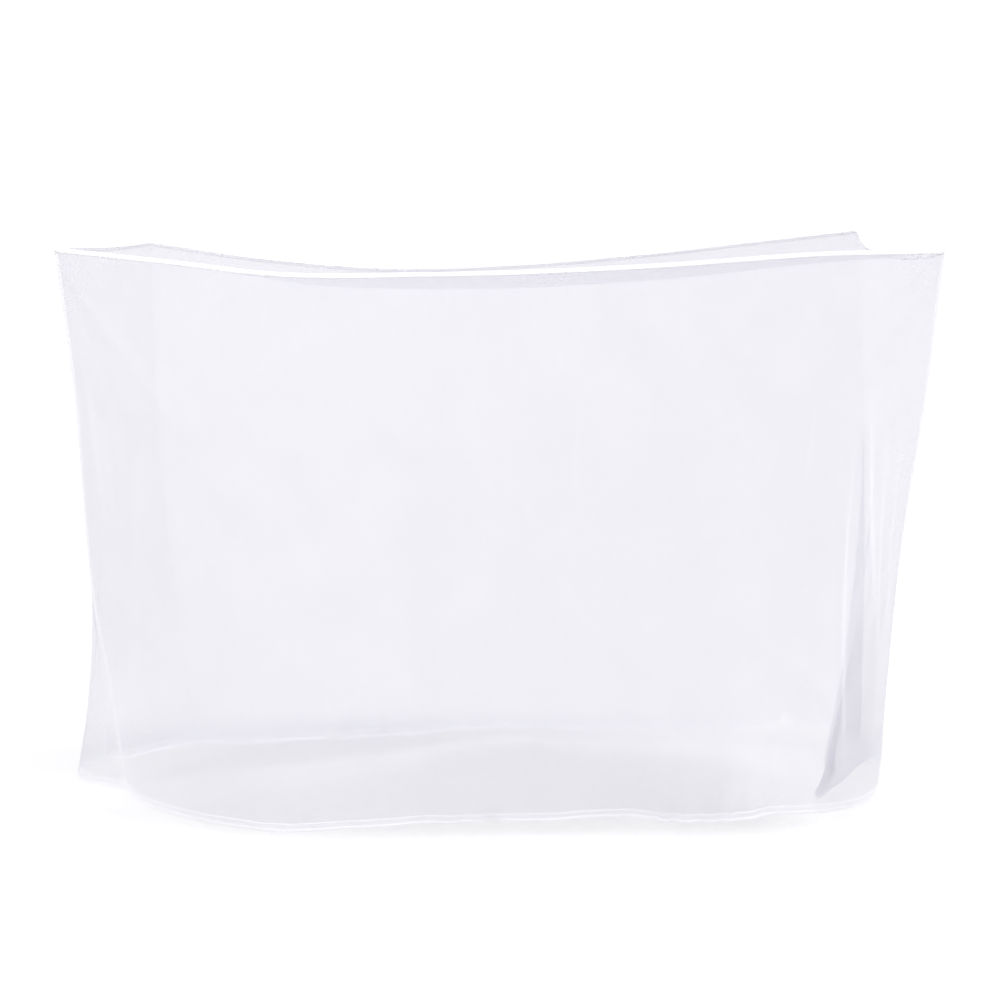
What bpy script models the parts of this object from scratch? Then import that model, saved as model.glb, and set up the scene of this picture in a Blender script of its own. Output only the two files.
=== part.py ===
"""Box mosquito net for a single bed, as it hangs from its four top corners.

One roof panel and four walls of knitted net meet along seams. A narrow tape binds the roof to each wall,
and each wall ends in its own turned hem. The top edges sag between the corners, the walls draw in below
them, and the hem makes an uneven oval. The origin is the middle of the four hanging corners.
"""

import math
from collections import namedtuple

import bmesh
import bpy
from mathutils import Vector

LENGTH = 2.20  # between the hanging corners, along X
DEPTH = 0.93  # between the hanging corners, along Y
DROP = 1.50  # a wall's cut height, hem included
CLOTH = 0.0012
HEM_CLOTH = 0.0022  # the turned hem is two layers
HEM_HEIGHT = 0.025
TAPE = 0.0010
TAPE_DROP = 0.010  # how far the tape covers the wall
TAPE_LAP = 0.007  # how far it covers the roof
GAP = 0.0003
ROOF_LIFT = 0.0012  # the roof's middle plane above the walls' top edges
ROOF_SAG = 0.030  # the roof's middle, below what its edges would give
WALL_ROWS = 13
QUIET_SEAM = 0.03  # folds die out this near a seam
QUIET_TOP = 0.08  # and in this share of the drop below the roof
NET_COLOR = (0.93, 0.92, 0.96, 1.0)
TAPE_COLOR = (0.97, 0.97, 0.98, 1.0)

# Each seam from its hanging corner down to the hem. Columns: share of the drop, x, y, z.
SEAMS = {
    "front_left": [
        (0.00, -LENGTH / 2, -DEPTH / 2, 0.000),
        (0.25, -1.082, -0.438, -0.373),
        (0.60, -1.085, -0.385, -0.900),
        (0.78, -1.062, -0.355, -1.170),
        (1.00, -1.045, -0.320, -1.500),
    ],
    "front_right": [
        (0.00, LENGTH / 2, -DEPTH / 2, -0.003),
        (0.25, 1.093, -0.410, -0.372),
        (0.52, 1.075, -0.335, -0.770),
        (0.80, 1.082, -0.245, -1.187),
        (1.00, 1.093, -0.185, -1.483),
    ],
    "back_left": [
        (0.00, -LENGTH / 2, DEPTH / 2, -0.018),
        (0.35, -1.085, 0.370, -0.540),
        (0.70, -1.020, 0.220, -1.062),
        (1.00, -0.930, 0.060, -1.513),
    ],
    "back_right": [
        (0.00, LENGTH / 2, DEPTH / 2, 0.021),
        (0.30, 1.118, 0.380, -0.427),
        (0.65, 1.116, 0.225, -0.950),
        (1.00, 1.086, 0.030, -1.472),
    ],
}

# How each top edge hangs between its two corners. Columns: share of its length, drop, bow to the middle.
SAGS = {
    "front": [
        (0.00, 0.000, 0.000),
        (0.12, 0.028, 0.004),
        (0.26, 0.061, 0.010),
        (0.42, 0.060, 0.014),
        (0.56, 0.051, 0.014),
        (0.70, 0.034, 0.010),
        (0.86, 0.008, 0.004),
        (1.00, 0.000, 0.000),
    ],
    "back": [
        (0.00, 0.000, 0.000),
        (0.16, 0.056, 0.005),
        (0.34, 0.092, 0.012),
        (0.52, 0.088, 0.014),
        (0.70, 0.062, 0.010),
        (0.85, 0.031, 0.004),
        (1.00, 0.000, 0.000),
    ],
    "left": [(0.0, 0.000, 0.000), (0.5, 0.006, 0.006), (1.0, 0.000, 0.000)],
    "right": [
        (0.00, 0.000, 0.000),
        (0.14, 0.020, 0.003),
        (0.50, 0.044, 0.008),
        (0.86, 0.040, 0.003),
        (1.00, 0.000, 0.000),
    ],
}

# The hem between its two seams. Columns: share of the wall's length, x, y, z.
HEMS = {
    "front": [
        (0.03, -0.985, -0.365, -1.520),
        (0.09, -0.875, -0.410, -1.536),
        (0.18, -0.675, -0.458, -1.551),
        (0.24, -0.560, -0.460, -1.560),
        (0.33, -0.385, -0.420, -1.565),
        (0.49, -0.010, -0.370, -1.570),
        (0.66, 0.360, -0.342, -1.563),
        (0.75, 0.555, -0.390, -1.560),
        (0.80, 0.655, -0.396, -1.551),
        (0.85, 0.755, -0.356, -1.545),
        (0.93, 0.925, -0.345, -1.530),
        (0.97, 1.020, -0.290, -1.513),
    ],
    "left": [
        (0.12, -1.115, -0.270, -1.510),
        (0.24, -1.188, -0.215, -1.520),
        (0.38, -1.236, -0.130, -1.527),
        (0.50, -1.228, -0.055, -1.540),
        (0.63, -1.165, 0.000, -1.546),
        (0.80, -1.070, 0.015, -1.528),
    ],
    "back": [
        (0.08, -0.780, 0.100, -1.535),
        (0.14, -0.650, 0.140, -1.536),
        (0.22, -0.485, 0.200, -1.552),
        (0.35, -0.230, 0.325, -1.583),
        (0.46, -0.010, 0.420, -1.600),
        (0.57, 0.200, 0.408, -1.598),
        (0.68, 0.420, 0.372, -1.586),
        (0.79, 0.645, 0.350, -1.571),
        (0.93, 0.960, 0.195, -1.500),
    ],
    "right": [
        (0.08, 1.055, -0.150, -1.478),
        (0.24, 0.965, -0.240, -1.504),
        (0.38, 0.890, -0.310, -1.520),
        (0.50, 0.930, -0.240, -1.512),
        (0.64, 0.948, -0.190, -1.495),
        (0.76, 0.942, -0.135, -1.475),
        (0.88, 0.985, -0.080, -1.460),
    ],
}

# Soft ridges and troughs, each along a line on its wall. Columns: where the line starts (share along the
# wall, share down it), where it ends, the fold's half width, how far it stands out (a trough is negative).
FOLDS = {
    "front": [
        (0.024, 0.28, 0.028, 0.52, 0.020, 0.006),
        (0.052, 0.30, 0.050, 0.60, 0.026, -0.006),
        (0.390, 0.30, 0.405, 1.00, 0.060, -0.012),
        (0.590, 0.26, 0.560, 1.00, 0.055, 0.010),
        (0.700, 0.86, 0.702, 1.00, 0.035, 0.012),
        (0.770, 0.84, 0.772, 1.00, 0.035, -0.010),
        (0.875, 0.28, 0.880, 0.55, 0.030, -0.005),
        (0.945, 0.26, 0.985, 0.72, 0.026, 0.007),
    ],
    "back": [
        (0.070, 0.90, 0.230, 0.84, 0.060, 0.010),
        (0.230, 0.84, 0.340, 0.90, 0.050, 0.008),
        (0.400, 0.30, 0.385, 1.00, 0.070, 0.010),
        (0.620, 0.30, 0.610, 1.00, 0.070, -0.010),
        (0.860, 0.82, 0.975, 0.96, 0.030, 0.014),
    ],
    "left": [
        (0.300, 0.45, 0.320, 1.00, 0.045, 0.006),
        (0.720, 0.35, 0.740, 1.00, 0.050, -0.010),
    ],
    "right": [
        (0.180, 0.35, 0.160, 0.90, 0.040, 0.008),
        (0.720, 0.35, 0.740, 0.95, 0.050, 0.010),
    ],
}

# Each wall: its two corners, its outward direction, how many faces across, and the power of the drop by
# which the hem's form fades in (1 is straight lines from top edge to hem, more keeps it near the hem).
Wall = namedtuple("Wall", "first second outward columns late")
WALLS = {
    "front": Wall("front_left", "front_right", Vector((0, -1, 0)), 48, 1.3),
    "back": Wall("back_left", "back_right", Vector((0, 1, 0)), 48, 1.3),
    "left": Wall("front_left", "back_left", Vector((-1, 0, 0)), 20, 2.2),
    "right": Wall("front_right", "back_right", Vector((1, 0, 0)), 20, 2.2),
}


def smooth(rows, at):
    """The row at this share, on a smooth curve through the rows, without its first column."""
    index = max(i for i in range(len(rows) - 1) if i == 0 or rows[i][0] <= at)
    low, high = rows[index], rows[index + 1]
    span = high[0] - low[0]
    before = rows[index - 1] if index else low
    after = rows[index + 2] if index + 2 < len(rows) else high
    step = (at - low[0]) / span
    found = []
    for column in range(1, len(low)):
        leave = (high[column] - before[column]) / (high[0] - before[0]) * span
        arrive = (after[column] - low[column]) / (after[0] - low[0]) * span
        found.append(
            (2 * step**3 - 3 * step**2 + 1) * low[column]
            + (step**3 - 2 * step**2 + step) * leave
            + (3 * step**2 - 2 * step**3) * high[column]
            + (step**3 - step**2) * arrive
        )
    return found


def wall_length(side):
    return LENGTH if WALLS[side].outward.y else DEPTH


def seam(corner, down):
    return Vector(smooth(SEAMS[corner], down))


def top_edge(side, along):
    """A point where the roof meets a wall."""
    wall = WALLS[side]
    drop, bow = smooth(SAGS[side], along)
    straight = seam(wall.first, 0).lerp(seam(wall.second, 0), along)
    return straight - wall.outward * bow - Vector((0, 0, drop))


def hem_edge(side, along):
    wall = WALLS[side]
    rows = [(0.0, *seam(wall.first, 1)), *HEMS[side], (1.0, *seam(wall.second, 1))]
    return Vector(smooth(rows, along))


def fold_height(side, along, down):
    """How far the ridges and troughs push the cloth outwards here."""
    length = wall_length(side)
    here = Vector((along * length, down * DROP))
    height = 0.0
    for from_along, from_down, to_along, to_down, width, rise in FOLDS[side]:
        start = Vector((from_along * length, from_down * DROP))
        run = Vector((to_along * length, to_down * DROP)) - start
        share = min(max((here - start).dot(run) / run.length_squared, 0), 1)
        away = (here - start - run * share).length
        open_ended = to_down == 1.0 and share > 0.5
        taper = 1.0 if open_ended else math.sin(math.pi * share) ** 0.6
        height += rise * taper * math.exp(-((away / width) ** 2))
    return height


def wall_point(side, along, down):
    """A point on a wall: a blend of its top edge, its hem and its two seams, then its folds."""
    wall = WALLS[side]
    ease = down**wall.late
    across = top_edge(side, along).lerp(hem_edge(side, along), ease)
    seams = seam(wall.first, down).lerp(seam(wall.second, down), along)
    first_corner = top_edge(side, 0).lerp(hem_edge(side, 0), ease)
    second_corner = top_edge(side, 1).lerp(hem_edge(side, 1), ease)
    corners = first_corner.lerp(second_corner, along)
    from_seam = min(along, 1 - along) * wall_length(side)
    quiet = min(from_seam / QUIET_SEAM, 1) * min(down / QUIET_TOP, 1)
    return across + seams - corners + wall.outward * (quiet * fold_height(side, along, down))


def roof_point(along, back):
    """A point on the roof: a blend of the four top edges, with the middle lower."""
    between = top_edge("front", along).lerp(top_edge("back", along), back)
    across = top_edge("left", back).lerp(top_edge("right", back), along)
    corners = seam("front_left", 0).lerp(seam("front_right", 0), along)
    corners = corners.lerp(seam("back_left", 0).lerp(seam("back_right", 0), along), back)
    middle = ROOF_SAG * 16 * along * (1 - along) * back * (1 - back)
    return between + across - corners - Vector((0, 0, middle))


def material(name, color, roughness):
    made = bpy.data.materials.new(name)
    made.use_nodes = True
    shader = made.node_tree.nodes["Principled BSDF"]
    shader.inputs["Base Color"].default_value = color
    shader.inputs["Roughness"].default_value = roughness
    shader.inputs["Metallic"].default_value = 0.0
    return made


def stations(side):
    """The shares along a top edge where its pieces have a column, the outer ones at the edge of a tape."""
    lap = TAPE_LAP / wall_length(side)
    between = WALLS[side].columns - 2
    return [0.0, *(lap + (1 - 2 * lap) * step / between for step in range(between + 1)), 1.0]


def keep_off(share, inset):
    return min(max(share, inset), 1 - inset)


def sheet(name, grid, thickness, finish, hem=None):
    """Rows of points made into cloth, its thickness the same to both sides and more in the hem's row."""
    columns, rows = len(grid[0]) - 1, len(grid) - 1
    cloth = bmesh.new()
    bmesh.ops.create_grid(cloth, x_segments=columns, y_segments=rows, size=0.5)
    turned = cloth.verts.layers.deform.verify()
    for vertex in cloth.verts:
        column, row = round((vertex.co.x + 0.5) * columns), round((0.5 - vertex.co.y) * rows)
        vertex.co = grid[row][column]
        vertex[turned][0] = 1.0 if row >= rows - 1 else 0.0
    mesh = bpy.data.meshes.new(name)
    cloth.to_mesh(mesh)
    cloth.free()
    mesh.shade_smooth()
    piece = bpy.data.objects.new(name, mesh)
    piece.data.materials.append(finish)
    wall = piece.modifiers.new("thickness", "SOLIDIFY")
    wall.thickness = hem or thickness
    wall.offset = 0.0
    wall.use_quality_normals = True
    if hem:
        piece.vertex_groups.new(name="hem")
        wall.vertex_group = "hem"
        wall.thickness_vertex_group = thickness / hem
    return piece


def wall_piece(side, finish):
    """One wall, parted from the roof above it and from the walls beside it."""
    tape, hem = TAPE_DROP / DROP, 1 - HEM_HEIGHT / DROP
    between = WALL_ROWS - 2
    rows = [0.0, *(tape + (hem - tape) * row / between for row in range(between + 1)), 1.0]
    grid = []
    for down in rows:
        thickness = HEM_CLOTH if down >= hem else CLOTH
        inset = (thickness / 2 + GAP) / wall_length(side)
        grid.append([wall_point(side, keep_off(along, inset), down) for along in stations(side)])
    return sheet(f"{side}_wall", grid, CLOTH, finish, HEM_CLOTH)


def roof_piece(finish):
    """The roof, on top of the walls, with a row of faces under the tape along each edge."""
    lift = Vector((0, 0, ROOF_LIFT))
    across, back_to_front = stations("front"), stations("left")[::-1]
    grid = [[roof_point(along, back) + lift for along in across] for back in back_to_front]
    return sheet("roof_panel", grid, CLOTH, finish)


def binding_piece(side, finish):
    """The tape over one top seam: down the outside of the wall, and over onto the roof."""
    outward, length = WALLS[side].outward, wall_length(side)
    long_side = length == LENGTH
    out = outward * (CLOTH / 2 + GAP + TAPE / 2)
    up = Vector((0, 0, ROOF_LIFT + CLOTH / 2 + GAP + TAPE / 2))
    lap = TAPE_LAP / (DEPTH if long_side else LENGTH)
    if side in ("back", "right"):
        lap = 1 - lap
    inset = (TAPE if long_side else TAPE_LAP + CLOTH + TAPE + 2 * GAP) / length
    reach = stations(side) if long_side else stations(side)[1:-1]
    reach = [keep_off(along, inset) for along in reach]
    grid = [
        [(roof_point(along, lap) if long_side else roof_point(lap, along)) + up for along in reach],
        [top_edge(side, along) + out + up for along in reach],
        [wall_point(side, along, TAPE_DROP / DROP) + out for along in reach],
    ]
    return sheet(f"{side}_binding", grid, TAPE, finish)


def clear_scene():
    for thing in list(bpy.data.objects):
        bpy.data.objects.remove(thing, do_unlink=True)


def build():
    clear_scene()
    canopy = bpy.data.collections.new("mosquito_net_canopy")
    bpy.context.scene.collection.children.link(canopy)
    hanger = bpy.data.objects.new("hanging_corners", None)
    canopy.objects.link(hanger)
    pieces = [roof_piece(material("roof_net", NET_COLOR, 0.8))]
    for side in WALLS:
        pieces.append(wall_piece(side, material(f"{side}_net", NET_COLOR, 0.8)))
        pieces.append(binding_piece(side, material(f"{side}_tape", TAPE_COLOR, 0.7)))
    for piece in pieces:
        canopy.objects.link(piece)
        piece.parent = hanger


build()
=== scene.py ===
import math

import bmesh
import bpy
import numpy as np
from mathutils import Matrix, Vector, noise


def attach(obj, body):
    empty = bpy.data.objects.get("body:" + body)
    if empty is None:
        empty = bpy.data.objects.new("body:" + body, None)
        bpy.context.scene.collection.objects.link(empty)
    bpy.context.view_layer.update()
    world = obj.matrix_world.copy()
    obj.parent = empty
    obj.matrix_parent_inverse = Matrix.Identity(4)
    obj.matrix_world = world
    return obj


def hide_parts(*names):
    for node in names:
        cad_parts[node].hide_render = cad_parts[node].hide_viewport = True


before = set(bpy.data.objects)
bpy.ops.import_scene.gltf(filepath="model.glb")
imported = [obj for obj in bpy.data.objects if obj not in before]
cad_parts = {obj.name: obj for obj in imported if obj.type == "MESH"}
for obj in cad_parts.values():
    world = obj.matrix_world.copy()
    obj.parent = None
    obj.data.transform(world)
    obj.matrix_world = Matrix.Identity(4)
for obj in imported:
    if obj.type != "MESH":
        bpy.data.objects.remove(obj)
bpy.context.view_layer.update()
print("frame loaded,", len(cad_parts), "nodes")

# the net as it was cut, and the cells of its walls, in metres
net = {
    "length": 2.20,  # between the hanging corners, along X
    "depth": 0.93,  # along Y
    "drop": 1.50,  # roof seam to hem
    "column": 0.0046,  # a cell's width
    "row": 0.016,  # its height
    "hemRow": 0.0032,  # its height near the hem
    "hemReach": 0.080,
}

# the four corner seams: share of the drop, x, y, z
cornerSeams = {
    "frontLeft": [
        (0.00, -1.100, -0.465, 0.000),
        (0.25, -1.082, -0.438, -0.373),
        (0.60, -1.085, -0.385, -0.900),
        (0.78, -1.062, -0.355, -1.170),
        (1.00, -1.045, -0.320, -1.500),
    ],
    "frontRight": [
        (0.00, 1.100, -0.465, -0.003),
        (0.25, 1.093, -0.410, -0.372),
        (0.52, 1.075, -0.335, -0.770),
        (0.80, 1.082, -0.245, -1.187),
        (1.00, 1.093, -0.185, -1.483),
    ],
    "backLeft": [
        (0.00, -1.100, 0.465, -0.018),
        (0.35, -1.085, 0.370, -0.540),
        (0.70, -1.020, 0.220, -1.062),
        (1.00, -0.930, 0.060, -1.513),
    ],
    "backRight": [
        (0.00, 1.100, 0.465, 0.021),
        (0.30, 1.118, 0.380, -0.427),
        (0.65, 1.116, 0.225, -0.950),
        (1.00, 1.086, 0.030, -1.472),
    ],
}

# sag: share of the top edge, drop, bow to the middle
# hem: share of the wall's length, x, y, z
# folds: from (along, down) to (along, down), half width, how far it stands out
# creases: the same, for the fine ones
# pinches: share along the hem, half width in metres, lift, how far it stands out
# ruffles: share along the hem, spread as a share, wave length, height, how far up they reach
walls = {
    "front": {
        "corners": ("frontLeft", "frontRight"),
        "outward": (0, -1, 0),
        "length": 2.20,
        "late": 1.3,
        "sag": [
            (0.00, 0.000, 0.000),
            (0.12, 0.028, 0.004),
            (0.26, 0.061, 0.010),
            (0.42, 0.060, 0.014),
            (0.56, 0.051, 0.014),
            (0.70, 0.034, 0.010),
            (0.86, 0.008, 0.004),
            (1.00, 0.000, 0.000),
        ],
        "hem": [
            (0.03, -0.985, -0.365, -1.520),
            (0.09, -0.875, -0.410, -1.536),
            (0.18, -0.675, -0.458, -1.551),
            (0.24, -0.560, -0.460, -1.560),
            (0.33, -0.385, -0.420, -1.565),
            (0.49, -0.010, -0.370, -1.570),
            (0.66, 0.360, -0.342, -1.563),
            (0.75, 0.555, -0.390, -1.560),
            (0.80, 0.655, -0.396, -1.551),
            (0.845, 0.755, -0.356, -1.549),
            (0.918, 0.925, -0.345, -1.540),
            (0.960, 1.042, -0.295, -1.526),
        ],
        "folds": [
            (0.024, 0.28, 0.028, 0.52, 0.020, 0.006),
            (0.052, 0.30, 0.050, 0.60, 0.026, -0.006),
            (0.390, 0.30, 0.405, 1.00, 0.060, -0.012),
            (0.590, 0.26, 0.560, 1.00, 0.055, 0.010),
            (0.700, 0.86, 0.702, 1.00, 0.035, 0.012),
            (0.770, 0.84, 0.772, 1.00, 0.035, -0.010),
            (0.875, 0.28, 0.880, 0.55, 0.030, -0.005),
            (0.945, 0.26, 0.985, 0.72, 0.026, 0.007),
        ],
        "creases": [
            (0.016, 0.20, 0.030, 0.50, 0.007, 0.0048),
            (0.036, 0.27, 0.040, 0.47, 0.006, -0.0042),
            (0.052, 0.28, 0.050, 0.50, 0.005, 0.0035),
            (0.072, 0.32, 0.066, 0.58, 0.008, 0.0036),
            (0.487, 0.36, 0.484, 0.66, 0.006, 0.0030),
            (0.503, 0.46, 0.506, 0.74, 0.006, -0.0027),
            (0.592, 0.20, 0.590, 0.40, 0.006, 0.0034),
            (0.866, 0.25, 0.868, 0.42, 0.006, 0.0042),
            (0.918, 0.30, 0.930, 0.94, 0.007, 0.0055),
            (0.930, 0.24, 0.962, 0.66, 0.008, 0.0060),
            (0.954, 0.28, 0.972, 0.84, 0.007, -0.0055),
            (0.972, 0.30, 0.986, 0.80, 0.006, 0.0050),
            (0.000, 0.02, 0.130, 0.30, 0.016, 0.0040),
            (0.000, 0.02, 0.070, 0.36, 0.012, -0.0030),
            (1.000, 0.02, 0.880, 0.26, 0.015, 0.0040),
            (1.000, 0.02, 0.935, 0.34, 0.012, -0.0030),
        ],
        "pinches": [
            (0.455, 0.012, 0.010, 0.010),
            (0.482, 0.010, 0.007, -0.008),
            (0.501, 0.010, 0.008, 0.008),
        ],
        "ruffles": [(0.478, 0.025, 0.022, 0.004, 0.05), (0.745, 0.110, 0.064, 0.007, 0.14)],
    },
    "back": {
        "corners": ("backLeft", "backRight"),
        "outward": (0, 1, 0),
        "length": 2.20,
        "late": 1.3,
        "sag": [
            (0.00, 0.000, 0.000),
            (0.16, 0.056, 0.005),
            (0.34, 0.092, 0.012),
            (0.52, 0.088, 0.014),
            (0.70, 0.062, 0.010),
            (0.85, 0.031, 0.004),
            (1.00, 0.000, 0.000),
        ],
        "hem": [
            (0.08, -0.780, 0.100, -1.535),
            (0.14, -0.650, 0.140, -1.536),
            (0.22, -0.485, 0.200, -1.552),
            (0.35, -0.230, 0.325, -1.583),
            (0.46, -0.010, 0.420, -1.600),
            (0.57, 0.200, 0.408, -1.598),
            (0.68, 0.420, 0.372, -1.586),
            (0.79, 0.645, 0.350, -1.571),
            (0.93, 0.960, 0.195, -1.500),
        ],
        "folds": [
            (0.070, 0.90, 0.230, 0.84, 0.060, 0.010),
            (0.230, 0.84, 0.340, 0.90, 0.050, 0.008),
            (0.400, 0.30, 0.385, 1.00, 0.070, 0.010),
            (0.620, 0.30, 0.610, 1.00, 0.070, -0.010),
            (0.860, 0.82, 0.975, 0.96, 0.030, 0.014),
        ],
        "creases": [
            (0.860, 0.86, 0.985, 0.98, 0.009, 0.0060),
            (0.880, 0.84, 0.990, 0.95, 0.008, -0.0040),
            (0.198, 0.90, 0.200, 1.00, 0.008, 0.0050),
            (0.082, 0.93, 0.084, 1.00, 0.007, 0.0040),
            (0.000, 0.02, 0.120, 0.30, 0.016, 0.0040),
            (1.000, 0.02, 0.880, 0.30, 0.016, 0.0040),
        ],
        "pinches": [
            (0.083, 0.012, 0.018, 0.008),
            (0.200, 0.013, 0.040, 0.014),
            (0.214, 0.012, -0.006, -0.006),
            (0.469, 0.010, 0.010, 0.006),
            (0.629, 0.012, 0.018, 0.008),
            (0.885, 0.030, 0.012, 0.006),
            (0.900, 0.014, 0.032, 0.014),
        ],
        "ruffles": [(0.300, 0.100, 0.070, 0.004, 0.08)],
    },
    "left": {
        "corners": ("frontLeft", "backLeft"),
        "outward": (-1, 0, 0),
        "length": 0.93,
        "late": 2.2,
        "sag": [(0.0, 0.000, 0.000), (0.5, 0.006, 0.006), (1.0, 0.000, 0.000)],
        "hem": [
            (0.12, -1.115, -0.270, -1.510),
            (0.24, -1.188, -0.215, -1.520),
            (0.38, -1.236, -0.130, -1.527),
            (0.50, -1.228, -0.055, -1.540),
            (0.63, -1.165, 0.000, -1.546),
            (0.80, -1.070, 0.015, -1.528),
        ],
        "folds": [
            (0.300, 0.45, 0.320, 1.00, 0.045, 0.006),
            (0.720, 0.35, 0.740, 1.00, 0.050, -0.010),
        ],
        "creases": [
            (0.12, 0.50, 0.10, 1.00, 0.010, 0.0050),
            (0.42, 0.40, 0.44, 1.00, 0.012, 0.0060),
            (0.58, 0.55, 0.56, 1.00, 0.010, -0.0050),
            (0.86, 0.30, 0.88, 0.95, 0.012, 0.0050),
        ],
        "pinches": [(0.62, 0.020, 0.010, 0.008)],
        "ruffles": [(0.200, 0.120, 0.060, 0.005, 0.10)],
    },
    "right": {
        "corners": ("frontRight", "backRight"),
        "outward": (1, 0, 0),
        "length": 0.93,
        "late": 2.2,
        "sag": [
            (0.00, 0.000, 0.000),
            (0.14, 0.020, 0.003),
            (0.50, 0.044, 0.008),
            (0.86, 0.040, 0.003),
            (1.00, 0.000, 0.000),
        ],
        "hem": [
            (0.08, 1.055, -0.150, -1.478),
            (0.24, 0.965, -0.240, -1.504),
            (0.38, 0.890, -0.310, -1.520),
            (0.50, 0.930, -0.240, -1.512),
            (0.64, 0.948, -0.190, -1.495),
            (0.76, 0.942, -0.135, -1.475),
            (0.88, 0.985, -0.080, -1.460),
        ],
        "folds": [
            (0.180, 0.35, 0.160, 0.90, 0.040, 0.008),
            (0.720, 0.35, 0.740, 0.95, 0.050, 0.010),
        ],
        "creases": [
            (0.10, 0.30, 0.12, 0.90, 0.012, 0.0050),
            (0.30, 0.45, 0.28, 1.00, 0.012, -0.0050),
            (0.52, 0.35, 0.55, 0.95, 0.014, 0.0060),
            (0.84, 0.30, 0.86, 0.90, 0.012, 0.0050),
        ],
        "pinches": [(0.60, 0.020, 0.012, 0.010), (0.42, 0.014, 0.010, -0.008)],
        "ruffles": [(0.550, 0.200, 0.050, 0.006, 0.10)],
    },
}

# how the cloth departs from a smooth surface, in metres
wallCloth = {
    "quietSeam": 0.03,  # folds die out this near a corner seam
    "quietTop": 0.08,  # and in this share of the drop under the roof
    "creaseSeam": 0.012,  # creases die out this near a corner seam
    "ridgeTaper": 0.6,  # how folds and creases die out at their ends
    "sharpRise": 0.006,  # a crease of this rise is fully sharp
    "sharpWidth": 0.004,
    "broadRise": 0.0050,  # unevenness, and its waves to the metre
    "broadScale": 4.0,
    "fineRise": 0.0009,
    "fineScale": 22.0,
    "fineTop": 0.03,  # share of the drop
    "drawnOut": 0.35,  # unevenness is longer down the wall than across it
    "pinchPower": 1.4,
    "pinchReach": 0.030,  # up from the hem
    "waveDrift": 1.1,  # the waves of a ruffle aren't evenly spaced
    "waveDriftRate": 0.37,
}
roofCloth = {
    "cell": 0.0095,
    "sag": 0.030,
    "lift": 0.0006,  # clear of the walls' top edges
    "quietEdge": 0.05,
    "broadRise": 0.006,
    "broadScale": 2.2,
    "fineRise": 0.0012,
    "fineScale": 13.0,
}


def smoothRows(rows, at):
    # a smooth curve through the rows, read at these shares
    rows = np.asarray(rows, float)
    at = np.asarray(at, float)
    shares, values = rows[:, 0], rows[:, 1:]
    slopes = np.empty_like(values)
    slopes[1:-1] = (values[2:] - values[:-2]) / (shares[2:] - shares[:-2])[:, None]
    slopes[0] = (values[1] - values[0]) / (shares[1] - shares[0])
    slopes[-1] = (values[-1] - values[-2]) / (shares[-1] - shares[-2])
    low = np.clip(np.searchsorted(shares, at, side="right") - 1, 0, len(rows) - 2)
    span = (shares[low + 1] - shares[low])[..., None]
    step = ((at - shares[low]) / span[..., 0])[..., None]
    return (
        (2 * step**3 - 3 * step**2 + 1) * values[low]
        + (step**3 - 2 * step**2 + step) * slopes[low] * span
        + (3 * step**2 - 2 * step**3) * values[low + 1]
        + (step**3 - step**2) * slopes[low + 1] * span
    )


def seamLine(corner, down):
    return smoothRows(cornerSeams[corner], down)


def topEdge(side, along):
    wall = walls[side]
    first, second = (seamLine(corner, 0.0) for corner in wall["corners"])
    sag = smoothRows(wall["sag"], along)
    share = np.asarray(along)[..., None]
    edge = first * (1 - share) + second * share - np.array(wall["outward"]) * sag[..., 1:2]
    edge[..., 2] -= sag[..., 0]
    return edge


def hemEdge(side, along):
    wall = walls[side]
    first, second = (seamLine(corner, 1.0) for corner in wall["corners"])
    rows = [(0.0, *first), *wall["hem"], (1.0, *second)]
    return smoothRows(rows, along)


def ridge(rows, length, along, down, sharpness=False):
    # the height of soft ridges, each along a line on the wall, or how sharply each is creased
    height = np.zeros_like(along)
    x, y = along * length, down * net["drop"]
    for fromAlong, fromDown, toAlong, toDown, width, rise in rows:
        startX, startY = fromAlong * length, fromDown * net["drop"]
        runX, runY = toAlong * length - startX, toDown * net["drop"] - startY
        share = ((x - startX) * runX + (y - startY) * runY) / (runX**2 + runY**2)
        share = np.clip(share, 0, 1)
        away = np.hypot(x - startX - runX * share, y - startY - runY * share)
        taper = np.sin(math.pi * share) ** wallCloth["ridgeTaper"]
        if toDown == 1.0:
            taper = np.where(share > 0.5, 1.0, taper)
        if sharpness:
            full = min(1.0, (abs(rise) / wallCloth["sharpRise"]) ** 2)
            sharp = full * taper * np.exp(-((away / wallCloth["sharpWidth"]) ** 2))
            height = np.maximum(height, sharp)
        else:
            height += rise * taper * np.exp(-((away / width) ** 2))
    return height


def unevenness(points, scale, seed):
    shift = Vector((seed * 7.3, seed * 3.1, seed * 1.7))
    values = [noise.noise(Vector(point) * scale + shift) for point in points.reshape(-1, 3)]
    return np.array(values).reshape(points.shape[:-1])


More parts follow.
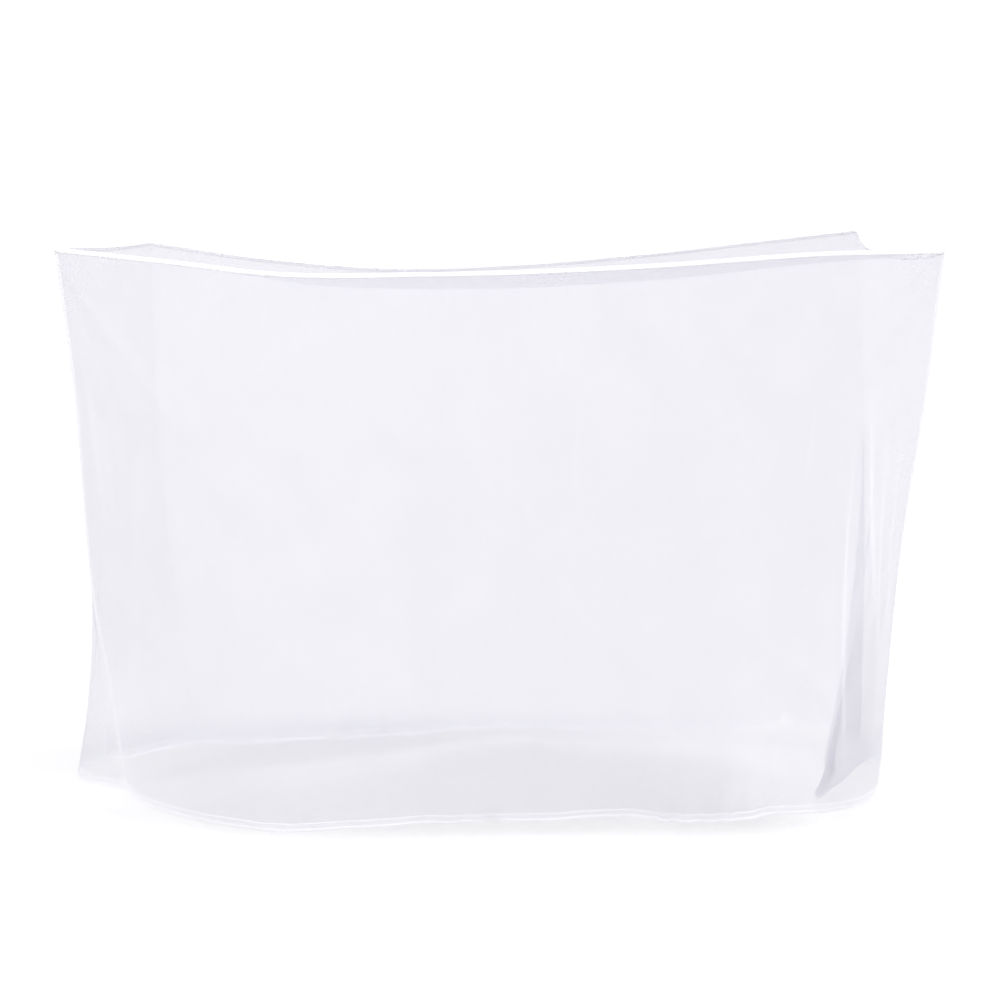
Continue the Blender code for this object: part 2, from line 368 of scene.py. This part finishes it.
def wallSurface(side, along, down):
    wall = walls[side]
    first, second = wall["corners"]
    share, ease = along[..., None], (down ** wall["late"])[..., None]
    top, hem = topEdge(side, along), hemEdge(side, along)
    across = top * (1 - ease) + hem * ease
    seams = seamLine(first, down) * (1 - share) + seamLine(second, down) * share
    firstCorner = topEdge(side, 0.0) * (1 - ease) + hemEdge(side, 0.0) * ease
    secondCorner = topEdge(side, 1.0) * (1 - ease) + hemEdge(side, 1.0) * ease
    points = across + seams - firstCorner * (1 - share) - secondCorner * share
    fromSeam = np.minimum(along, 1 - along) * wall["length"]
    quiet = np.clip(fromSeam / wallCloth["quietSeam"], 0, 1)
    quiet = quiet * np.clip(down / wallCloth["quietTop"], 0, 1)
    offSeam = np.clip(fromSeam / wallCloth["creaseSeam"], 0, 1)
    height = ridge(wall["folds"], wall["length"], along, down) * quiet
    height += ridge(wall["creases"], wall["length"], along, down) * offSeam
    drawn = down * net["drop"] * wallCloth["drawnOut"]
    flat = np.stack([along * wall["length"], drawn, np.zeros_like(along)], axis=-1)
    seed = list(walls).index(side) + 1
    height += quiet * wallCloth["broadRise"] * unevenness(flat, wallCloth["broadScale"], seed)
    fine = offSeam * np.clip(down / wallCloth["fineTop"], 0, 1) * wallCloth["fineRise"]
    height += fine * unevenness(flat, wallCloth["fineScale"], seed + 5)
    lift = np.zeros_like(height)
    up = (1 - down) * net["drop"]
    fade = np.exp(-((up / wallCloth["pinchReach"]) ** 2))
    for middle, width, raised, out in wall["pinches"]:
        away = np.abs((along - middle) * wall["length"] / width)
        near = np.exp(-(away ** wallCloth["pinchPower"]))
        lift += raised * near * fade
        height += out * near * fade
    for middle, spread, wave, tall, reach in wall["ruffles"]:
        near = np.exp(-(((along - middle) / spread) ** 2)) * np.exp(-((up / reach) ** 2))
        phase = 2 * math.pi * along * wall["length"] / wave
        drift = wallCloth["waveDrift"] * np.sin(phase * wallCloth["waveDriftRate"])
        height += tall * near * np.sin(phase + drift) * offSeam
    points = points + np.array(wall["outward"]) * height[..., None]
    points[..., 2] += lift * offSeam
    return points


def roofSurface(along, back):
    share, deep = along[..., None], back[..., None]
    between = topEdge("front", along) * (1 - deep) + topEdge("back", along) * deep
    across = topEdge("left", back) * (1 - share) + topEdge("right", back) * share
    frontCorners = topEdge("front", 0.0) * (1 - share) + topEdge("front", 1.0) * share
    backCorners = topEdge("back", 0.0) * (1 - share) + topEdge("back", 1.0) * share
    points = between + across - frontCorners * (1 - deep) - backCorners * deep
    # the whole sag in the middle, none at the edges
    points[..., 2] -= roofCloth["sag"] * 16 * along * (1 - along) * back * (1 - back)
    flat = np.stack([along * net["length"], back * net["depth"], np.zeros_like(along)], axis=-1)
    edge = roofCloth["quietEdge"]
    quiet = np.clip(np.minimum(along, 1 - along) * net["length"] / edge, 0, 1)
    quiet = quiet * np.clip(np.minimum(back, 1 - back) * net["depth"] / edge, 0, 1)
    broad = roofCloth["broadRise"] * unevenness(flat, roofCloth["broadScale"], 11)
    fine = roofCloth["fineRise"] * unevenness(flat, roofCloth["fineScale"], 12)
    points[..., 2] += quiet * (broad + fine)
    return points


def newObject(name, data):
    made = bpy.data.objects.new(name, data)
    bpy.context.scene.collection.objects.link(made)
    return made


def flatRows(run, heights):
    # the flat cut of a narrow strip, one row of it for each height
    return np.stack([np.stack([run, np.full_like(run, height)], axis=-1) for height in heights])


def clothMesh(name, points, flat, finish, creased=None):
    # one layer of cloth on a grid of points, with its flat cut in metres as its map
    rows, columns = points.shape[:2]
    made = bmesh.new()
    bmesh.ops.create_grid(made, x_segments=columns - 1, y_segments=rows - 1, size=0.5)
    cut = made.loops.layers.uv.new("cutMetres")
    places = {}
    for vertex in made.verts:
        column = round((vertex.co.x + 0.5) * (columns - 1))
        row = round((0.5 - vertex.co.y) * (rows - 1))
        places[vertex.index] = (row, column)
        vertex.co = points[row, column]
    for face in made.faces:
        face.smooth = True
        for loop in face.loops:
            row, column = places[loop.vert.index]
            loop[cut].uv = flat[row, column]
    mesh = bpy.data.meshes.new(name)
    made.to_mesh(mesh)
    made.free()
    if creased is not None:
        marks = mesh.attributes.new("creased", "FLOAT", "POINT")
        marks.data.foreach_set("value", [creased[places[i]] for i in range(len(places))])
    piece = newObject(name, mesh)
    mesh.materials.append(finish)
    return piece


# materials

reliefDepth = 0.0003  # metres
lookOfNet = {
    "color": (0.54, 0.535, 0.58, 1.0),
    "glow": (0.54, 0.535, 0.58, 1.0),  # light that comes through the threads
    "glowShare": 0.60,
    "creaseHighlightTint": (0.74, 0.74, 0.76, 1.0),  # painted highlight: a whiter tint along the sharp creases, where light catches them
    "creaseCover": 0.32,
    "meshWidth": 1.9,  # millimetres
    "meshHeight": 1.6,
    "thread": 0.20,
    "threadSoft": 0.6,
    "holeCover": 0.31,
    "threadCover": 0.92,
    "uneven": 0.03,
    "patchScale": 0.006,  # patches to the millimetre
    "relief": 0.25,
    "rough": 0.85,
    "shine": 0.25,
    "sheen": 0.15,
}
lookOfSeam = {
    **lookOfNet,
    "color": (0.86, 0.86, 0.87, 1.0),
    "glow": (0.86, 0.86, 0.87, 1.0),
    "glowShare": 0.70,
    "holeCover": 0.62,
}
lookOfWoven = {
    "groove": 0.97,  # of the colour on the ribs
    "ribWander": 0.6,
    "relief": 0.4,
    "rough": 0.75,
    "shine": 0.3,
    "sheen": 0.1,
}
lookOfHem = {
    **lookOfWoven,
    "color": (0.97, 0.97, 0.98, 1.0),
    "rib": 0.9,
    "glowShare": 0.75,
    "tall": 25.0,  # millimetres
    # share of the height, cover
    "covers": [(0.00, 0.98), (0.28, 0.98), (0.35, 0.12), (0.88, 0.12), (0.94, 0.30), (1.00, 0.36)],
}
lookOfTape = {**lookOfWoven, "color": (0.98, 0.98, 0.985, 1.0), "rib": 0.8, "glowShare": 0.72}
lookOfThread = {**lookOfWoven, "color": (0.97, 0.97, 0.98, 1.0), "rib": 2.0, "glowShare": 0.2}


def newMaterial(name):
    made = bpy.data.materials.new(name)
    made.use_nodes = True
    made.node_tree.nodes.clear()
    return made, made.node_tree.nodes, made.node_tree.links


def cutMap(nodes, links):
    # the cloth's own flat cut, in millimetres
    source = nodes.new("ShaderNodeUVMap")
    source.uv_map = "cutMetres"
    scale = nodes.new("ShaderNodeVectorMath")
    scale.operation = "SCALE"
    scale.inputs["Scale"].default_value = 1000.0
    links.new(source.outputs["UV"], scale.inputs[0])
    return scale.outputs["Vector"]


def mapRange(nodes, links, value, low, high, fromLow=0.0, fromHigh=1.0):
    made = nodes.new("ShaderNodeMapRange")
    made.inputs["From Min"].default_value = fromLow
    made.inputs["From Max"].default_value = fromHigh
    made.inputs["To Min"].default_value = low
    made.inputs["To Max"].default_value = high
    links.new(value, made.inputs["Value"])
    return made.outputs["Result"]


def addUp(nodes, links, first, second):
    made = nodes.new("ShaderNodeMath")
    made.operation = "ADD"
    links.new(first, made.inputs[0])
    links.new(second, made.inputs[1])
    return made


def mixShaders(nodes, links, share, first, second):
    # the share of the second is a number or another node's output
    made = nodes.new("ShaderNodeMixShader")
    if isinstance(share, float):
        made.inputs["Fac"].default_value = share
    else:
        links.new(share, made.inputs["Fac"])
    links.new(first, made.inputs[1])
    links.new(second, made.inputs[2])
    return made.outputs["Shader"]


def litCloth(nodes, links, look, color, glow, relief):
    # light that falls on the cloth, and light that comes through it
    bump = nodes.new("ShaderNodeBump")
    bump.inputs["Strength"].default_value = look["relief"]
    bump.inputs["Distance"].default_value = reliefDepth
    links.new(relief, bump.inputs["Height"])
    front = nodes.new("ShaderNodeBsdfPrincipled")
    front.inputs["Roughness"].default_value = look["rough"]
    front.inputs["Specular IOR Level"].default_value = look["shine"]
    front.inputs["Sheen Weight"].default_value = look["sheen"]
    links.new(color, front.inputs["Base Color"])
    links.new(bump.outputs["Normal"], front.inputs["Normal"])
    through = nodes.new("ShaderNodeBsdfTranslucent")
    links.new(glow, through.inputs["Color"])
    sides = (front.outputs["BSDF"], through.outputs["BSDF"])
    return mixShaders(nodes, links, look["glowShare"], *sides)


def sheerCloth(name, look):
    # knitted net: threads and holes, soft light through the threads, clear where there is none,
    # with a painted highlight along the sharp creases
    made, nodes, links = newMaterial(name)
    place = cutMap(nodes, links)
    knit = nodes.new("ShaderNodeTexBrick")
    knit.offset = 0.5
    knit.inputs["Scale"].default_value = 1.0
    knit.inputs["Brick Width"].default_value = look["meshWidth"]
    knit.inputs["Row Height"].default_value = look["meshHeight"]
    knit.inputs["Mortar Size"].default_value = look["thread"]
    knit.inputs["Mortar Smooth"].default_value = look["threadSoft"]
    links.new(place, knit.inputs["Vector"])
    threads = mapRange(nodes, links, knit.outputs["Fac"], look["holeCover"], look["threadCover"])
    drift = nodes.new("ShaderNodeTexNoise")
    drift.inputs["Scale"].default_value = look["patchScale"]
    drift.inputs["Detail"].default_value = 3.0
    links.new(place, drift.inputs["Vector"])
    low, high = -look["uneven"], look["uneven"]
    patches = mapRange(nodes, links, drift.outputs["Fac"], low, high, 0.3, 0.7)
    creased = nodes.new("ShaderNodeAttribute")
    creased.attribute_name = "creased"
    doubled = mapRange(nodes, links, creased.outputs["Fac"], 0.0, look["creaseCover"])
    total = addUp(nodes, links, threads, patches)
    cover = addUp(nodes, links, total.outputs["Value"], doubled)
    cover.use_clamp = True
    # the sharp creases: their cover rises where the cloth lies doubled, and their tint turns
    # whiter, a painted highlight where light catches them
    tints = []
    for tone in (look["color"], look["glow"]):
        tint = nodes.new("ShaderNodeMix")
        tint.data_type = "RGBA"
        tint.inputs[6].default_value = tone
        tint.inputs[7].default_value = look["creaseHighlightTint"]
        links.new(creased.outputs["Fac"], tint.inputs["Factor"])
        tints.append(tint.outputs[2])
    lit = litCloth(nodes, links, look, *tints, knit.outputs["Fac"])
    clear = nodes.new("ShaderNodeBsdfTransparent")
    mixed = mixShaders(nodes, links, cover.outputs["Value"], clear.outputs["BSDF"], lit)
    out = nodes.new("ShaderNodeOutputMaterial")
    links.new(mixed, out.inputs["Surface"])
    return made


def wovenTape(name, look):
    # a narrow ribbed tape, a sewing thread or the doubled cloth of a hem
    made, nodes, links = newMaterial(name)
    place = cutMap(nodes, links)
    ribs = nodes.new("ShaderNodeTexWave")
    ribs.wave_type = "BANDS"
    ribs.bands_direction = "X"
    ribs.inputs["Scale"].default_value = look["rib"]
    ribs.inputs["Distortion"].default_value = look["ribWander"]
    ribs.inputs["Detail"].default_value = 1.0
    links.new(place, ribs.inputs["Vector"])
    shade = nodes.new("ShaderNodeMix")
    shade.data_type = "RGBA"
    shade.inputs[6].default_value = tuple(c * look["groove"] for c in look["color"][:3]) + (1.0,)
    shade.inputs[7].default_value = look["color"]
    links.new(ribs.outputs["Fac"], shade.inputs["Factor"])
    tint = shade.outputs[2]
    lit = litCloth(nodes, links, look, tint, tint, ribs.outputs["Fac"])
    out = nodes.new("ShaderNodeOutputMaterial")
    if "covers" not in look:
        links.new(lit, out.inputs["Surface"])
        return made
    # the fold at the bottom is dense, the turned edge at the top less so, the cloth between sheer
    parts = nodes.new("ShaderNodeSeparateXYZ")
    links.new(place, parts.inputs["Vector"])
    height = mapRange(nodes, links, parts.outputs["Y"], 0.0, 1.0, 0.0, look["tall"])
    dense = nodes.new("ShaderNodeValToRGB")
    for share, _ in look["covers"][1:-1]:
        dense.color_ramp.elements.new(share)
    for stop, (share, cover) in zip(dense.color_ramp.elements, look["covers"]):
        stop.position = share
        stop.color = (cover, cover, cover, 1.0)
    links.new(height, dense.inputs["Fac"])
    clear = nodes.new("ShaderNodeBsdfTransparent")
    mixed = mixShaders(nodes, links, dense.outputs["Color"], clear.outputs["BSDF"], lit)
    links.new(mixed, out.inputs["Surface"])
    return made


netCloth = sheerCloth("knittedNet", lookOfNet)
seamCloth = sheerCloth("doubledNet", lookOfSeam)
hemCloth = wovenTape("turnedHem", lookOfHem)
tapeCloth = wovenTape("bindingTape", lookOfTape)
print("materials ready")


# walls, each with its hem turned up inside

hemBand = {
    "height": 0.025,
    "turnRows": 4,
    "insideGap": 0.0012,
    "outsideGap": 0.0004,
    "under": 0.0006,
}


def rowsDown():
    # closer together near the hem, where the small folds are
    reach = net["hemReach"] / net["drop"]
    upper = np.linspace(0, 1 - reach, round((net["drop"] - net["hemReach"]) / net["row"]) + 1)
    lower = np.linspace(1 - reach, 1, round(net["hemReach"] / net["hemRow"]) + 1)
    return np.concatenate([upper[:-1], lower])


wallPieces, hemPieces = {}, {}
for side, wall in walls.items():
    inward = -np.array(wall["outward"], float)
    cells = round(wall["length"] / net["column"])
    along, down = np.meshgrid(np.linspace(0, 1, cells + 1), rowsDown())
    points = wallSurface(side, along, down)
    flat = np.stack([along * wall["length"], -down * net["drop"]], axis=-1)
    # how sharp each crease is: it makes the cloth denser where it lies doubled, and tints it
    # whiter, a painted highlight
    creased = ridge(wall["creases"], wall["length"], along, down, sharpness=True)
    wallPieces[side] = clothMesh(f"{side}Wall", points, flat, netCloth, creased)
    # the hem: down the outside, round the bottom edge and up the inside
    hemAlong = np.linspace(0, 1, cells + 1)
    outer, tall = [], []
    for share in np.linspace(0, 1, hemBand["turnRows"]):
        hemDown = np.full_like(hemAlong, 1 - hemBand["height"] / net["drop"] * (1 - share))
        outer.append(wallSurface(side, hemAlong, hemDown))
        tall.append(round(hemBand["height"] * (1 - share), 4))
    inner = [line + inward * hemBand["insideGap"] for line in reversed(outer)]
    outer = [line - inward * hemBand["outsideGap"] for line in outer]
    lowest = (outer[-1] + inner[0]) / 2 - np.array((0, 0, hemBand["under"]))
    points = np.stack([*outer, lowest, *inner])
    flat = flatRows(hemAlong * wall["length"], [*tall, 0.0, *reversed(tall)])
    hemPieces[side] = clothMesh(f"{side}Hem", points, flat, hemCloth)
    print(side, "wall and hem made")

along, back = np.meshgrid(
    np.linspace(0, 1, round(net["length"] / roofCloth["cell"]) + 1),
    np.linspace(1, 0, round(net["depth"] / roofCloth["cell"]) + 1),
)
roofPoints = roofSurface(along, back)
roofPoints[..., 2] += roofCloth["lift"]
roofFlat = np.stack([along * net["length"], back * net["depth"]], axis=-1)
roofPiece = clothMesh("roofPanel", roofPoints, roofFlat, netCloth)
print("roof made")


# the tape over each top seam: from the roof, over the fold and down the wall

topTape = {
    "onWall": 0.010,
    "onRoof": 0.007,
    "thick": 0.0007,
    "clear": 0.0009,
    "foldLow": 0.0004,  # how high it lies over the top edge
    "foldTall": 0.0012,
    "foldWidth": 0.001,
    "pucker": 0.0004,
    "puckers": 40,
    "cell": 0.006,
    "inset": 0.012,  # share that a short tape leaves free at each end
}


def topTapePiece(side):
    wall = walls[side]
    longSide = side in ("front", "back")
    cells = round(wall["length"] / topTape["cell"])
    inset = 0 if longSide else topTape["inset"]
    along = np.linspace(inset, 1 - inset, cells + 1)
    across = net["depth"] if longSide else net["length"]
    outward = np.array(wall["outward"], float)
    up = np.array((0, 0, 1.0))
    rows, heights = [], []
    for reach in (1.0, 0.5):
        lap = np.full_like(along, reach * topTape["onRoof"] / across)
        lap = 1 - lap if side in ("back", "right") else lap
        roofLine = roofSurface(along, lap) if longSide else roofSurface(lap, along)
        rows.append(roofLine + up * (topTape["clear"] + roofCloth["lift"]))
        heights.append(topTape["onWall"] + reach * topTape["onRoof"])
    edge = topEdge(side, along)
    for turn in (60, 30, 0):
        angle = math.radians(turn)
        rise = topTape["foldLow"] + topTape["foldTall"] * math.sin(angle)
        rows.append(edge + up * rise + outward * topTape["clear"] * math.cos(angle))
        heights.append(topTape["onWall"] + topTape["foldWidth"] * turn / 60)
    for reach in (0.5, 1.0):
        down = np.full_like(along, reach * topTape["onWall"] / net["drop"])
        rows.append(wallSurface(side, along, down) + outward * topTape["clear"])
        heights.append(topTape["onWall"] * (1 - reach))
    run = [along * topTape["puckers"], np.full_like(along, 2.0), np.zeros_like(along)]
    wobble = unevenness(np.stack(run, axis=-1), 1.0, 21)
    points = np.stack(rows) + (outward * topTape["pucker"]) * wobble[None, :, None]
    flat = flatRows(along * wall["length"], heights)
    piece = clothMesh(f"{side}TopTape", points, flat, tapeCloth)
    thick = piece.modifiers.new("thickness", "SOLIDIFY")
    thick.thickness = topTape["thick"]
    thick.offset = 0.0
    return piece


tapePieces = {side: topTapePiece(side) for side in walls}
print("top tapes made")


# the corner seams, felled: the side wall's edge is folded over the long wall and sewn down outside

felledSeam = {
    "onFront": 0.008,
    "onBack": 0.004,
    "onSide": 0.0015,
    "proud": 0.0008,
    "edgeProud": 0.0003,
    "step": 0.008,
    "top": 0.008,  # shares of the drop
    "bottom": 0.999,
    "cut": (0.0, 0.001, 0.0025, 0.006, 0.0095, 0.010),  # the strip's rows, laid flat
}


def cornerSeamPiece(corner):
    longSide = "front" if "front" in corner else "back"
    shortSide = "left" if "Left" in corner else "right"
    onLong = felledSeam["onFront" if longSide == "front" else "onBack"]
    onShort = felledSeam["onSide"]
    proud, edgeProud = felledSeam["proud"], felledSeam["edgeProud"]
    steps = round(net["drop"] / felledSeam["step"])
    down = np.linspace(felledSeam["top"], felledSeam["bottom"], steps + 1)
    places = []
    for side, width, height in (
        (shortSide, onShort, edgeProud),
        (shortSide, onShort * 0.4, proud),
        (longSide, onLong * 0.1, proud),
        (longSide, onLong * 0.5, proud * 1.2),
        (longSide, onLong * 0.95, proud),
        (longSide, onLong, edgeProud),
    ):
        wall = walls[side]
        share = width / wall["length"]
        share = share if corner == wall["corners"][0] else 1 - share
        line = wallSurface(side, np.full_like(down, share), down)
        places.append(line + np.array(wall["outward"]) * height)
    flat = flatRows(down * net["drop"], felledSeam["cut"])
    return clothMesh(f"{corner}Seam", np.stack(places), flat, seamCloth)


seamPieces = {corner: cornerSeamPiece(corner) for corner in cornerSeams}
print("corner seams made")


# stitches along the tapes and the hems, set out on their lines by Geometry Nodes

stitchRow = {
    "pitch": 0.0042,
    "length": 0.0028,
    "thread": 0.00035,
    "ends": 0.004,  # share left free at each end of a line
    "spacing": 0.01,  # of the line's points
    "fromEdge": 0.002,
    "overTape": 0.0005,
    "overHem": 0.0006,
}
threadFinish = wovenTape("sewingThread", lookOfThread)


def stitchNodes():
    tree = bpy.data.node_groups.new("stitchesOnLine", "GeometryNodeTree")
    sockets = tree.interface
    sockets.new_socket("Line", in_out="INPUT", socket_type="NodeSocketGeometry")
    for name in ("Pitch", "Length", "Thread"):
        socket = sockets.new_socket(name, in_out="INPUT", socket_type="NodeSocketFloat")
        socket.default_value = stitchRow[name.lower()]
    sockets.new_socket("Finish", in_out="INPUT", socket_type="NodeSocketMaterial")
    sockets.new_socket("Stitches", in_out="OUTPUT", socket_type="NodeSocketGeometry")
    nodes, links = tree.nodes, tree.links
    given, result = nodes.new("NodeGroupInput"), nodes.new("NodeGroupOutput")
    resample = nodes.new("GeometryNodeResampleCurve")
    resample.mode = "LENGTH"
    links.new(given.outputs["Line"], resample.inputs["Curve"])
    links.new(given.outputs["Pitch"], resample.inputs["Length"])
    stitch = nodes.new("GeometryNodeMeshCylinder")
    stitch.inputs["Vertices"].default_value = 5
    links.new(given.outputs["Thread"], stitch.inputs["Radius"])
    links.new(given.outputs["Length"], stitch.inputs["Depth"])
    tangent = nodes.new("GeometryNodeInputTangent")
    turn = nodes.new("FunctionNodeAlignRotationToVector")
    turn.axis = "Z"
    links.new(tangent.outputs["Tangent"], turn.inputs["Vector"])
    spread = nodes.new("GeometryNodeInstanceOnPoints")
    links.new(resample.outputs["Curve"], spread.inputs["Points"])
    links.new(stitch.outputs["Mesh"], spread.inputs["Instance"])
    links.new(turn.outputs["Rotation"], spread.inputs["Rotation"])
    real = nodes.new("GeometryNodeRealizeInstances")
    links.new(spread.outputs["Instances"], real.inputs["Geometry"])
    finish = nodes.new("GeometryNodeSetMaterial")
    links.new(real.outputs["Geometry"], finish.inputs["Geometry"])
    links.new(given.outputs["Finish"], finish.inputs["Material"])
    links.new(finish.outputs["Geometry"], result.inputs["Stitches"])
    return tree


def stitching(name, lines):
    data = bpy.data.curves.new(name + "Lines", "CURVE")
    data.dimensions = "3D"
    for line in lines:
        spline = data.splines.new("POLY")
        spline.points.add(len(line) - 1)
        spline.points.foreach_set("co", np.column_stack([line, np.ones(len(line))]).ravel())
    carrier = newObject(name + "Lines", data)
    tree = stitchNodes()
    row = carrier.modifiers.new("stitches", "NODES")
    row.node_group = tree
    for item in tree.interface.items_tree:
        if item.name in ("Pitch", "Length", "Thread"):
            row[item.identifier] = stitchRow[item.name.lower()]
        if item.name == "Finish":
            row[item.identifier] = threadFinish
    seen = carrier.evaluated_get(bpy.context.evaluated_depsgraph_get())
    mesh = bpy.data.meshes.new_from_object(seen)
    mesh.name = name
    bpy.data.objects.remove(carrier)
    return newObject(name, mesh)


tapeLines, hemLines = [], []
for side, wall in walls.items():
    outward = np.array(wall["outward"], float)
    ends, fromEdge = stitchRow["ends"], stitchRow["fromEdge"]
    along = np.linspace(ends, 1 - ends, round(wall["length"] / stitchRow["spacing"]))
    down = np.full_like(along, (topTape["onWall"] - fromEdge) / net["drop"])
    proud = topTape["clear"] + stitchRow["overTape"]
    tapeLines.append(wallSurface(side, along, down) + outward * proud)
    down = np.full_like(along, 1 - (hemBand["height"] - fromEdge) / net["drop"])
    hemLines.append(wallSurface(side, along, down) + outward * stitchRow["overHem"])
tapeStitches = stitching("tapeStitches", tapeLines)
hemStitches = stitching("hemStitches", hemLines)
print("stitches made")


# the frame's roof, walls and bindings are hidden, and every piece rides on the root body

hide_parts("roof_panel")
for side in walls:
    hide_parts(f"{side}_wall")
    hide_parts(f"{side}_binding")
everyPiece = [
    roofPiece,
    *wallPieces.values(),
    *hemPieces.values(),
    *tapePieces.values(),
    *seamPieces.values(),
    tapeStitches,
    hemStitches,
]
for piece in everyPiece:
    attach(piece, "root")


# the studio: a white room, a pale floor just under the hem, soft light from the sides, behind
# and above

studio = {
    "white": 1.19,
    "fill": 0.95,
    "floor": (0.64, 0.64, 0.645, 1.0),
    "floorPlace": (0.0, 0.12, -1.64),
    "floorReach": (0.36, 0.62),  # whole up to here, gone into the white room by there
    "floorStretch": 4.2,  # along the net
}


def studioFloor():
    made = bmesh.new()
    bmesh.ops.create_grid(made, x_segments=1, y_segments=1, size=studio["floorReach"][1])
    mesh = bpy.data.meshes.new("studioFloor")
    made.to_mesh(mesh)
    made.free()
    floor = newObject("studioFloor", mesh)
    floor.location = studio["floorPlace"]
    floor.scale.x = studio["floorStretch"]
    paint, nodes, links = newMaterial("studioFloorPaint")
    matte = nodes.new("ShaderNodeBsdfDiffuse")
    matte.inputs["Color"].default_value = studio["floor"]
    place = nodes.new("ShaderNodeTexCoord")
    away = nodes.new("ShaderNodeVectorMath")
    away.operation = "LENGTH"
    links.new(place.outputs["Object"], away.inputs[0])
    near, far = studio["floorReach"]
    gone = mapRange(nodes, links, away.outputs["Value"], 0.0, 1.0, near, far)
    gone.node.interpolation_type = "SMOOTHSTEP"
    clear = nodes.new("ShaderNodeBsdfTransparent")
    mixed = mixShaders(nodes, links, gone, matte.outputs["BSDF"], clear.outputs["BSDF"])
    out = nodes.new("ShaderNodeOutputMaterial")
    links.new(mixed, out.inputs["Surface"])
    mesh.materials.append(paint)


def studioRoom():
    room = bpy.data.worlds.new("studioRoom")
    bpy.context.scene.world = room
    room.use_nodes = True
    nodes, links = room.node_tree.nodes, room.node_tree.links
    nodes.clear()
    path = nodes.new("ShaderNodeLightPath")
    seen, lighting = nodes.new("ShaderNodeBackground"), nodes.new("ShaderNodeBackground")
    seen.inputs["Strength"].default_value = studio["white"]
    seen.inputs["Color"].default_value = (1.0, 1.0, 1.0, 1.0)
    lighting.inputs["Strength"].default_value = studio["fill"]
    lighting.inputs["Color"].default_value = (1.0, 1.0, 1.0, 1.0)
    shares = (lighting.outputs["Background"], seen.outputs["Background"])
    chosen = mixShaders(nodes, links, path.outputs["Is Camera Ray"], *shares)
    out = nodes.new("ShaderNodeOutputWorld")
    links.new(chosen, out.inputs["Surface"])


def softLight(name, kind, place, target, size, power):
    # the size is in degrees for a sun and in metres for a lamp
    lamp = bpy.data.lights.new(name, kind)
    lamp.energy = power
    if kind == "SUN":
        lamp.angle = math.radians(size)
    else:
        lamp.shape = "DISK"
        lamp.size = size
    holder = newObject(name, lamp)
    holder.location = place
    holder.rotation_euler = (Vector(target) - Vector(place)).to_track_quat("-Z", "Y").to_euler()


studioFloor()
studioRoom()
softLight("leftWindow", "SUN", (-2.6, -3.2, 2.2), (0, 0, 0), 30, 1.45)
softLight("rightSideLight", "SUN", (4.0, -1.0, 1.6), (0, 0, 0), 40, 3.00)
softLight("backLight", "SUN", (0.0, 3.0, 0.8), (0, 0, 0), 60, 2.35)
softLight("upperLight", "AREA", (-0.5, -1.8, 1.5), (-0.2, 0, 0.0), 1.6, 26)
print("studio ready")

# the camera stands where the photograph was taken from
photoView = {
    "sensor": 36.0,  # millimetres
    "lens": 51.18,
    "place": (0.0559, -4.0299, 0.1326),
    "lookDown": 0.21255,  # radians
    "turn": 0.01376,
}
view = bpy.data.cameras.new("photoView")
view.sensor_width = photoView["sensor"]
view.lens = photoView["lens"]
camera = newObject("photoView", view)
camera.location = photoView["place"]
camera.rotation_euler = (math.pi / 2 - photoView["lookDown"], 0.0, photoView["turn"])
bpy.context.scene.camera = camera

settings = bpy.context.scene
settings.view_settings.view_transform = "Standard"
settings.view_settings.look = "None"
settings.cycles.denoising_input_passes = "RGB"  # the sheer layers' own normals mislead it
settings.cycles.max_bounces = 10
settings.cycles.transparent_max_bounces = 24
settings.cycles.transmission_bounces = 8

print("pieces:", len(everyPiece))
